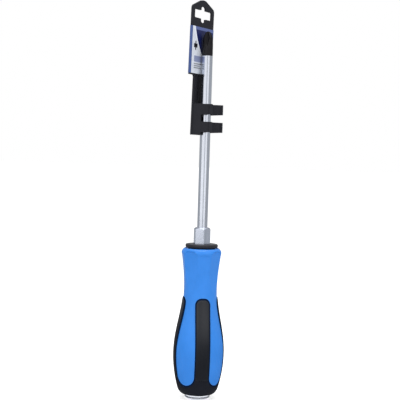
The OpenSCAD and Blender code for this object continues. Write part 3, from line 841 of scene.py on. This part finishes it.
class SCREWDRIVER_OT_grip(bpy.types.Operator):
    """Makes the soft overmould.
    Half of one finger is a loft from a path along the butt and up the finger's middle to the overmould's
    edge, which runs round a panel's bottom, up the finger's side and over its top. Each point lies on the
    handle's outline, raised by the overmould's height, which rounds off at the edge. An inner skin closes it
    below the shell. It is mirrored and turned four times. The strip beside the edge is matt and dark navy,
    which is painted shade standing in for the shadow line round each finger. The lower end is matt"""

    bl_idname = "screwdriver.grip"
    bl_label = "Soft grip"

    def outline(self, handle):
        """Radius, height, outward normal and length run along the handle's outside, from the cap on."""
        butt_z = butt_height(handle)
        slope = 2 * (SHELL_HIGH.x - handle.butt_r) / (handle.belly_z - butt_z)
        edge = np.array([handle.butt_r - handle.butt_round_r, butt_z - handle.butt_round_h])
        bend = np.array([
            handle.butt_r - slope * (handle.butt_round_h - handle.butt_lift),
            edge[1] + handle.butt_lift,
        ])
        cap_gap, spare = 0.1 * MM, 4 * MM
        arc_rows, base_rows, side_rows = 40, 12, 300
        arc_r, arc_z = parabola(edge, bend, np.array([handle.butt_r, butt_z]), arc_rows).T
        base_r = np.linspace(CAP_HIGH.x + cap_gap, arc_r[0], base_rows)[:-1]
        side_z = np.linspace(butt_z, GRIP_HIGH.z + spare, side_rows)[1:]
        r = np.concatenate([base_r, arc_r, side_radius(handle, side_z, 1)])
        z = np.concatenate([np.full(base_r.shape, arc_z[0]), arc_z, side_z])
        run = np.concatenate([[0], np.cumsum(np.hypot(np.diff(r), np.diff(z)))])
        dr, dz = np.gradient(r, run), np.gradient(z, run)
        size = np.hypot(dr, dz)
        return r, z, dz / size, -dr / size, run

    def paths(self, handle, grip, run_at):
        """The inner path and the edge as (angle from the finger's middle, length run), point for point."""

        def surface(z):
            """Radius of the overmould's outside."""
            return side_radius(handle, z, 1) + grip.proud

        half, corner = grip.finger_w / 2, grip.finger_corner
        tries, panel_steps, side_steps, bend_steps, top_steps = 8, 40, 60, 14, 6
        panel_r = half
        for _ in range(tries):
            outside = float(surface(np.array(grip.panel_bottom + panel_r)))
            panel_r = outside * math.sin(math.pi / 4 - math.asin(half / outside))
        panel_z, shoulder = grip.panel_bottom + panel_r, grip.finger_top - corner
        swing = np.linspace(-math.pi / 2, 0, panel_steps)
        panel_edge = panel_z + panel_r * np.sin(swing)
        panel_angle = math.pi / 4 - np.arcsin(panel_r * np.cos(swing) / surface(panel_edge))
        side_z = np.linspace(panel_z, shoulder, side_steps)[1:]
        bend = np.linspace(0, math.pi / 2, bend_steps)[1:]
        top_y = np.linspace(half - corner, 0, top_steps)[1:]
        y = np.concatenate([np.full(side_z.shape, half), half - corner + corner * np.cos(bend), top_y])
        z = np.concatenate([side_z, shoulder + corner * np.sin(bend), np.full(top_y.shape, grip.finger_top)])
        edge_angle = np.concatenate([panel_angle, np.arcsin(y / surface(z))])
        edge = np.stack([edge_angle, run_at(np.concatenate([panel_edge, z]))], -1)
        half_panel = panel_steps // 2
        knots = np.cumsum([0, half_panel, half_panel, side_z.size, bend.size + top_y.size])
        steps = np.arange(len(edge))
        inner_angle = np.interp(steps, knots[:2], [math.pi / 4, 0])
        lead, tail = 4 * MM, 2 * MM
        top_run = run_at(np.array([grip.panel_bottom + lead, shoulder - tail, shoulder]))
        inner_run = np.interp(steps, knots[1:], [0, *top_run])
        return np.stack([inner_angle, inner_run], -1), edge

    def execute(self, context):
        handle, grip = context.scene.driver_handle, context.scene.driver_grip
        r, z, normal_r, normal_z, run = self.outline(handle)
        on_side = z > butt_height(handle)
        inner, edge = self.paths(handle, grip, lambda height: np.interp(height, z[on_side], run[on_side]))
        reach = inner - edge
        width = np.hypot(reach[:, 0] * np.interp(edge[:, 1], run, r), reach[:, 1])
        pad_slope, low_lead, seam = 0.6 * MM, 1.5 * MM, 0.002 * MM
        edge_rows, pad_rows, under_rows = 7, 9, 5
        bend = np.linspace(0, math.pi / 2, edge_rows)
        shelf = grip.pad_border + pad_slope * np.array([1, 0.5, 0])
        fixed = np.concatenate([shelf, grip.edge_r * (1 - np.sin(bend))])
        spread = np.linspace(1, 0, pad_rows)[:-1, None]
        off = np.concatenate([
            fixed[0] + (width - fixed[0]) * spread,
            np.broadcast_to(fixed[:, None], (fixed.size, width.size)),
        ])
        flat = np.full(spread.size + shelf.size, grip.proud)
        rise = np.concatenate([flat, grip.proud - grip.edge_r * (1 - np.cos(bend))])
        pad = grip.pad_rise * ease((off - grip.pad_border) / pad_slope)
        under = np.linspace(0, 1, under_rows)[:, None]
        off = np.concatenate([off, width * under])
        height = np.concatenate([rise[:, None] + pad, np.full((under.size, width.size), -grip.depth)])
        part = off / width
        angle_at = edge[:, 0] + reach[:, 0] * part
        run_at = edge[:, 1] + reach[:, 1] * part
        lift = height * ease(run_at / low_lead)
        ring_r = np.interp(run_at, run, r) + lift * np.interp(run_at, run, normal_r)
        ring_z = np.interp(run_at, run, z) + lift * np.interp(run_at, run, normal_z)
        grid = quads(*off.shape, False)
        points, faces = [], []
        for finger in range(4):
            for mirror in (1, -1):
                turn = handle.turn + finger * math.pi / 2 + mirror * angle_at
                faces.append(grid[:, ::mirror] + off.size * len(points))
                points.append(revolved(ring_r, ring_z, turn).reshape(-1, 3))
        skin = np.concatenate(points), np.concatenate(faces).tolist()
        finish = moulded_finish("grip_rubber", grip.black, rough=0.38, relief=0.18, gloss=0.65, grain=1700.0)
        piece = add_piece("soft_grip_skin", skin, finish, "driver", "soft_grip", sharp=60)
        matt = {"relief": 0.1, "gloss": 0.05, "grain": 1700.0}
        row = np.arange(len(off) - 1)
        first = spread.size + shelf.size - 1
        # The strip beside the edge gets the dark navy finish, which is painted shade for the shadow line
        # round the finger.
        border = np.repeat((row >= first) & (row < first + bend.size), width.size - 1)
        low_end = ((ring_z[:-1, :-1] + ring_z[1:, 1:]) / 2 < grip.matt_top).reshape(-1)
        numbers = np.tile(np.where(border, 1, np.where(low_end, 2, 0)), len(points))
        edge_shade_finish = moulded_finish("grip_edge_painted_shade", grip.border, rough=0.8, **matt)
        paint(piece, [edge_shade_finish, moulded_finish("grip_butt", grip.butt, rough=0.7, **matt)], numbers)
        sewn = bmesh.new()
        sewn.from_mesh(piece.data)
        bmesh.ops.remove_doubles(sewn, verts=sewn.verts, dist=seam)
        bmesh.ops.recalc_face_normals(sewn, faces=sewn.faces)
        sewn.to_mesh(piece.data)
        sewn.free()
        return {"FINISHED"}


class SCREWDRIVER_OT_hanger(bpy.types.Operator):
    """Makes the moulded hanger: its solid with wider notches, whole flat faces and rounded edges"""

    bl_idname = "screwdriver.hanger"
    bl_label = "Hanger"

    def execute(self, context):
        hanger = context.scene.driver_hanger
        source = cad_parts["hanger"].data
        points = np.empty(3 * len(source.vertices), np.float32)
        source.vertices.foreach_get("co", points)
        points = points.reshape(-1, 3)
        corners = np.empty(len(source.loops), np.int32)
        source.loops.foreach_get("vertex_index", corners)
        seam, same_plane, reach = 0.002 * MM, math.radians(0.4), 0.7
        grid = np.round(points / seam).astype(np.int64)
        _, first, same = np.unique(grid, axis=0, return_index=True, return_inverse=True)
        faces = same.reshape(-1)[corners].reshape(-1, 3)
        whole = (faces != np.roll(faces, -1, axis=1)).all(axis=1)
        merged = points[first]
        drop = HANGER_HIGH.z - merged[:, 2]
        near = np.abs(merged[:, 0]) < reach * hanger.notch_w
        notch = near & (drop > hanger.notch_high) & (drop < hanger.notch_low)
        merged[notch, 0] *= 1 + hanger.notch_more / hanger.notch_w
        skin = merged, faces[whole].tolist()
        finish = moulded_finish("hanger_moulded", hanger.black, rough=0.50, relief=0.18, gloss=0.05)
        piece = add_piece("hanger_skin", skin, finish, "clip_hanger", "hanger")
        flats = bmesh.new()
        flats.from_mesh(piece.data)
        bmesh.ops.dissolve_limit(flats, angle_limit=same_plane, verts=flats.verts, edges=flats.edges)
        flats.to_mesh(piece.data)
        flats.free()
        round_edges(piece, hanger.edge)
        return {"FINISHED"}


class SCREWDRIVER_OT_cheeks(bpy.types.Operator):
    """Makes the two cheeks of the clip.
    A cheek is an outline in y and z carried through its thickness along x: a back from the plate's edge to
    the blade, which draws in on a straight line, and two tapered arms, which spread on another. The other
    cheek is its mirror image"""

    bl_idname = "screwdriver.cheeks"
    bl_label = "Clip cheeks"

    def execute(self, context):
        hanger = context.scene.driver_hanger
        low, back, end = HANGER_LOW.z, HANGER_HIGH.y, HANGER_LOW.y
        taper = (hanger.arm_h - hanger.arm_end_h) / 2
        lower = low + hanger.arm_rise
        upper = lower + hanger.arm_h + hanger.arm_gap
        top = upper + hanger.arm_h + hanger.cheek_top
        front_z = np.array([low, lower, lower + hanger.arm_h, upper, upper + hanger.arm_h, top])
        end_z = front_z[1:5] + taper * np.array([1, -1, 1, -1])
        back_z = np.array([top, low])
        lean = np.tan(hanger.lean) * (back_z - low)
        z = np.concatenate([front_z, end_z, back_z])
        y = np.concatenate([np.zeros(front_z.size), np.full(end_z.size, end), back - lean])
        counts = [front_z.size, end_z.size, back_z.size]
        wide = np.repeat([hanger.cheek_w, hanger.arm_w, hanger.stem_w], counts) / 2
        count = z.size
        cheek = np.stack([np.concatenate([wide, wide - hanger.cheek_t]), np.tile(y, 2), np.tile(z, 2)], -1)
        sides = [[0, 1, 2, 3, 4, 5, 10, 11], [1, 6, 7, 2], [3, 8, 9, 4]]
        rim = np.array([0, 1, 6, 7, 2, 3, 8, 9, 4, 5, 10, 11])
        walls = np.stack([rim, np.roll(rim, -1), np.roll(rim, -1) + count, rim + count], -1)
        inner = [[corner + count for corner in side[::-1]] for side in sides]
        faces = sides + inner + walls[:, ::-1].tolist()
        mirrored = [[2 * count + corner for corner in face[::-1]] for face in faces]
        skin = np.concatenate([cheek, cheek * [-1, 1, 1]]), faces + mirrored
        finish = bpy.data.materials["hanger_moulded"]
        piece = add_piece("clip_cheeks", skin, finish, "clip_hanger", sharp=10)
        round_edges(piece, hanger.edge)
        return {"FINISHED"}


class SCREWDRIVER_OT_label(bpy.types.Operator):
    """Makes the printed sleeve: a thin wall with round ends, carried round a rectangle with round corners"""

    bl_idname = "screwdriver.label"
    bl_label = "Label"

    def execute(self, context):
        hanger = context.scene.driver_hanger
        size, centre = LABEL_HIGH - LABEL_LOW, (LABEL_HIGH + LABEL_LOW) / 2
        slope = math.tan(hanger.lean)
        half_w, half_t = size.x / 2, (size.y - size.z * slope) / 2
        corner, half_wall, steps = hanger.sleeve_corner, hanger.sleeve_t / 2, 7
        bend = np.linspace(0, math.pi / 2, steps)
        turn = np.concatenate([bend + k * math.pi / 2 for k in range(4)])
        side = np.repeat([[1, 1], [-1, 1], [-1, -1], [1, -1]], bend.size, axis=0)
        middle = side * [half_w - corner, half_t - corner]
        outward = np.stack([np.cos(turn), np.sin(turn)], -1)
        lip = np.linspace(0, math.pi, steps)
        wall_out = corner - half_wall + half_wall * np.concatenate([np.cos(lip), -np.cos(lip)])
        low, high = LABEL_LOW.z + half_wall, LABEL_HIGH.z - half_wall
        wall_z = np.concatenate([high + half_wall * np.sin(lip), low - half_wall * np.sin(lip)])
        flat = middle + outward * wall_out[:, None, None]
        z = np.broadcast_to(wall_z[:, None], flat.shape[:2])
        y = centre.y + flat[..., 1] - (z - centre.z) * slope
        skin = closed_tube(np.stack([flat[..., 0], y, z], -1)[::-1])
        finish = print_finish(hanger)
        add_piece("label_sleeve", skin, finish, "clip_hanger", "label", sharp=50)
        return {"FINISHED"}


class SCREWDRIVER_OT_stage(bpy.types.Operator):
    """Makes the floor, the light, the grey cards that only gloss sees, and the camera"""

    bl_idname = "screwdriver.stage"
    bl_label = "Stage"

    def world(self, stage):
        """White for the eye and for gloss, and a softer level as ambient light."""
        world = bpy.data.worlds.new("studio")
        n = emptied(world)
        level = n.blend(n.seen(), stage.ambient, 1.0)
        background = n.add("ShaderNodeBackground", {"Color": WHITE, "Strength": level})
        n.add("ShaderNodeOutputWorld", {"Surface": background.outputs[0]})
        bpy.context.scene.world = world

    def floor(self, stage):
        """A wide pale disc under the striking face, lifted to white for the eye, that keeps a shadow."""
        radii, columns = np.array([0.05, 0.3, 1.0, 4.0, 20.0])[:, None], 64
        points = revolved(radii, CAD_LOW.z, around(columns))
        faces = quads(len(radii), columns, True)[:, ::-1].tolist() + [list(range(columns))]
        finish, n, shader, place = new_finish(
            "floor_white", Roughness=0.9, Specular_IOR_Level=0.1, Emission_Color=WHITE
        )
        tone = n.vary(n.noise(place, scale=30.0), (stage.floor_white,) * 3, 1.0, 0.98)
        glow = n.math("MULTIPLY", n.seen(), stage.floor_glow)
        n.feed(shader, {"Base Color": tone, "Emission Strength": glow})
        floor = mesh_object("floor", (points, faces), finish)

    def card(self, stage, name, angles, radii, heights, level):
        """A card that only gloss sees: a grid between two angles in degrees from the camera's side, two
        radii and two heights."""
        columns, cool_white = 48, (0.94, 0.97, 1.0, 1.0)
        theta = np.radians(np.linspace(*angles, columns))[None, :] + stage.azimuth - math.pi / 2
        points = revolved(np.array(radii)[:, None], np.array(heights)[:, None], theta)
        material = bpy.data.materials.new(name)
        n = emptied(material)
        glow = n.add("ShaderNodeEmission", {"Color": cool_white, "Strength": level})
        n.add("ShaderNodeOutputMaterial", {"Surface": glow.outputs[0]})
        card = mesh_object(name, (points, quads(2, columns, False)[:, ::-1].tolist()), material)
        for kind in ("camera", "diffuse", "transmission", "volume_scatter", "shadow"):
            setattr(card, "visible_" + kind, False)

    def softbox(self, name, place, target, size, power, in_gloss):
        """A square area light that faces a point, and that gloss may or may not show."""
        light = bpy.data.lights.new(name, "AREA")
        light.energy = power
        light.size = size
        lamp = new_object(light)
        lamp.location = place
        lamp.visible_glossy = in_gloss
        lamp.rotation_mode = "QUATERNION"
        lamp.rotation_quaternion = (target - place).to_track_quat("-Z", "Y")

    def camera(self, stage):
        """Camera on a circle round the blade, rolled and moved aside as the picture is.
        Returns the level direction to its right and the direction to it."""
        a, e, roll = stage.azimuth, stage.elevation, stage.roll
        back = Vector((math.sin(a) * math.cos(e), -math.cos(a) * math.cos(e), math.sin(e)))
        level = Vector((math.cos(a), math.sin(a), 0))
        right = level * math.cos(roll) + back.cross(level) * math.sin(roll)
        place = Vector((0, 0, stage.aim_z)) + back * stage.distance - right * stage.aim_side
        data = bpy.data.cameras.new("camera")
        data.lens = stage.lens
        data.clip_start, data.clip_end = 0.01, 100
        camera = new_object(data)
        turn = Matrix((right, back.cross(right), back)).transposed()
        camera.matrix_world = Matrix.Translation(place) @ turn.to_4x4()
        bpy.context.scene.camera = camera
        return level, back

    def execute(self, context):
        stage = context.scene.driver_stage
        context.scene.view_settings.view_transform = "Standard"
        self.world(stage)
        self.floor(stage)
        level, back = self.camera(stage)
        middle, ahead = Vector((0, 0, CAD_HIGH.z / 2)), Vector((back.x, back.y, 0)).normalized()
        # Each softbox has its distances towards the camera, to the right and up from the object's middle.
        softboxes = (
            ("overhead_softbox", (0.15, 0, 1.1), 0.9, stage.overhead, True),
            ("left_softbox", (0.9, -0.8, 0.45), 0.7, stage.front, False),
            ("right_softbox", (0.9, 0.8, 0.45), 0.7, stage.front, False),
        )
        for name, (near, right, up), size, power, in_gloss in softboxes:
            place = middle + ahead * near + level * right + Vector((0, 0, up))
            self.softbox(name, place, middle, size, power, in_gloss)
        # Each card has its two angles, its two radii and its two heights.
        ring, flat, tall, wall = (-180, 180), (MM, MM), (-0.5, 1.6), (1.5, 1.5)
        # The contact card is a darker ring round the cap that only gloss sees: a painted contact shadow in
        # the reflections.
        table_r, contact = 0.12, (CAP_HIGH.x + 0.4 * MM, 0.0135)
        cards = (
            ("right_card", (50, 178), wall, tall, stage.card_grey),
            ("left_card", (-178, -66), wall, tall, stage.card_grey),
            ("line_card", (-5, 11), wall, tall, stage.line_grey),
            ("near_card", ring, (0.028, table_r), flat, stage.near_grey),
            ("contact_shadow_card", ring, contact, flat, 2 * stage.near_grey),
            ("low_card", ring, (table_r, table_r), (MM, 0.062), stage.near_grey),
            ("table_card", ring, (table_r, wall[0]), flat, stage.card_grey),
        )
        for card in cards:
            self.card(stage, *card)
        return {"FINISHED"}


OPERATORS = (
    SCREWDRIVER_OT_groups,
    SCREWDRIVER_OT_blade,
    SCREWDRIVER_OT_bolster,
    SCREWDRIVER_OT_cap,
    SCREWDRIVER_OT_shell,
    SCREWDRIVER_OT_collar,
    SCREWDRIVER_OT_grip,
    SCREWDRIVER_OT_hanger,
    SCREWDRIVER_OT_cheeks,
    SCREWDRIVER_OT_label,
    SCREWDRIVER_OT_stage,
)


class SCREWDRIVER_PT_panel(bpy.types.Panel):
    """Lists the pieces and their settings"""

    bl_label = "Screwdriver"
    bl_idname = "SCREWDRIVER_PT_panel"
    bl_space_type = "VIEW_3D"
    bl_region_type = "UI"
    bl_category = "Screwdriver"

    def draw(self, context):
        for operator in OPERATORS:
            self.layout.operator(operator.bl_idname)
        for name, group in SETTINGS.items():
            box = self.layout.box()
            box.label(text=group.__doc__)
            for key in group.__annotations__:
                box.prop(getattr(context.scene, name), key)


def register():
    """Registers the settings, the operators and the panel."""
    for name, group in SETTINGS.items():
        bpy.utils.register_class(group)
        setattr(bpy.types.Scene, name, PointerProperty(type=group))
    for cls in (*OPERATORS, SCREWDRIVER_PT_panel):
        bpy.utils.register_class(cls)


def unregister():
    """Takes everything out again."""
    for cls in (SCREWDRIVER_PT_panel, *reversed(OPERATORS)):
        bpy.utils.unregister_class(cls)
    for name, group in SETTINGS.items():
        delattr(bpy.types.Scene, name)
        bpy.utils.unregister_class(group)


def main():
    """Builds every piece and the stage."""
    register()
    for operator in OPERATORS:
        family, name = operator.bl_idname.split(".")
        getattr(getattr(bpy.ops, family), name)()


if __name__ == "__main__":
    main()
